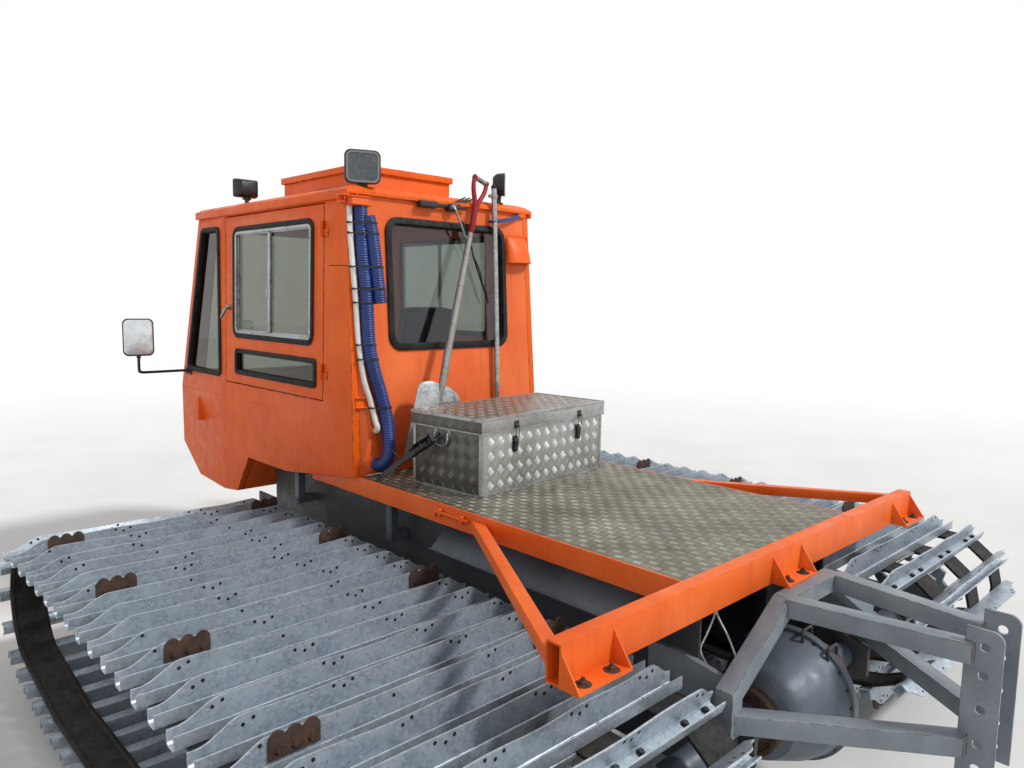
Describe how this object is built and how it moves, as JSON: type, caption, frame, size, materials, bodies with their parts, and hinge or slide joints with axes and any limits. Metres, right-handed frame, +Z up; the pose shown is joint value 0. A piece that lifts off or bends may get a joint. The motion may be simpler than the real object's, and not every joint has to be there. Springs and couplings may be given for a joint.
{
  "type": "tracked snow groomer with cab and rear deck",
  "caption": "Snow groomer on two wide barred tracks, with a glazed cab, chequered cargo deck with toolbox, rear beam and a pin hitch.",
  "frame": {"origin": "on the ground, under the middle of the whole machine", "axes": "+X forward, +Y to the left, +Z up"},
  "size_m": [4.88, 3.95, 2.619],
  "materials": {
    "orange_paint": "faded matt paint",
    "grey_paint": "worn satin paint",
    "galvanised_steel": "dull galvanised",
    "bare_steel": "worn",
    "engine_iron": "oily",
    "wheel_rubber": "dusty",
    "chequer_plate": "chequered, scuffed",
    "window_glass": "clear, dusty",
    "seat_vinyl": "grained",
    "black_plastic": "grained",
    "grey_plastic": "weathered",
    "blue_hose": "ribbed",
    "white_conduit": "satin"
  },
  "bodies": {
    "root": {"chassis": "grey_paint", "engine_block": "engine_iron", "front_mount": "grey_paint", "road_axles": "grey_paint", "rear_axle": "grey_paint", "track_left": "galvanised_steel", "track_right": "galvanised_steel", "road_wheels_left": "wheel_rubber", "road_wheels_right": "wheel_rubber", "idler_left": "wheel_rubber", "idler_right": "wheel_rubber", "sprocket_left": "bare_steel", "sprocket_right": "bare_steel", "deck_frame": "orange_paint", "deck_plate": "chequer_plate", "deck_plate_front": "chequer_plate", "hitch_frame": "grey_paint", "cab_floor": "orange_paint", "cab_side_left": "orange_paint", "cab_side_right": "orange_paint", "cab_rear_wall": "orange_paint", "cab_front": "orange_paint", "cab_roof": "orange_paint", "windshield": "window_glass", "rear_window": "window_glass", "quarter_windows": "window_glass", "seats": "seat_vinyl", "console": "black_plastic", "toolbox_body": "chequer_plate", "shovel": "bare_steel", "grab_pole": "grey_plastic", "vent_hose": "blue_hose", "conduit": "white_conduit", "work_lamps": "black_plastic", "mirrors": "black_plastic"},
    "door_left": {"door_left": "orange_paint", "door_glass_left": "window_glass"},
    "door_right": {"door_right": "orange_paint", "door_glass_right": "window_glass"},
    "roof_hatch": {"roof_hatch": "orange_paint"},
    "toolbox_lid": {"toolbox_lid": "chequer_plate"}
  },
  "joints": [
    {"name": "door_left_hinge", "type": "hinge", "parent": "root", "child": "door_left", "pos_m": [0.5445, 0.65048, 1.51], "axis": [0, -0.0209, 0.9998], "range_deg": [0, 100]},
    {"name": "door_right_hinge", "type": "hinge", "parent": "root", "child": "door_right", "pos_m": [0.5445, -0.65048, 1.51], "axis": [0, -0.0209, -0.9998], "range_deg": [0, 100]},
    {"name": "roof_hatch_hinge", "type": "hinge", "parent": "root", "child": "roof_hatch", "pos_m": [1.22, 0.2, 2.5303], "axis": [0, 1, 0], "range_deg": [0, 80]},
    {"name": "toolbox_lid_hinge", "type": "hinge", "parent": "root", "child": "toolbox_lid", "pos_m": [0.04505, 0.01388, 1.2983], "axis": [-0.0872, 0.9962, 0], "range_deg": [0, 90]}
  ]
}
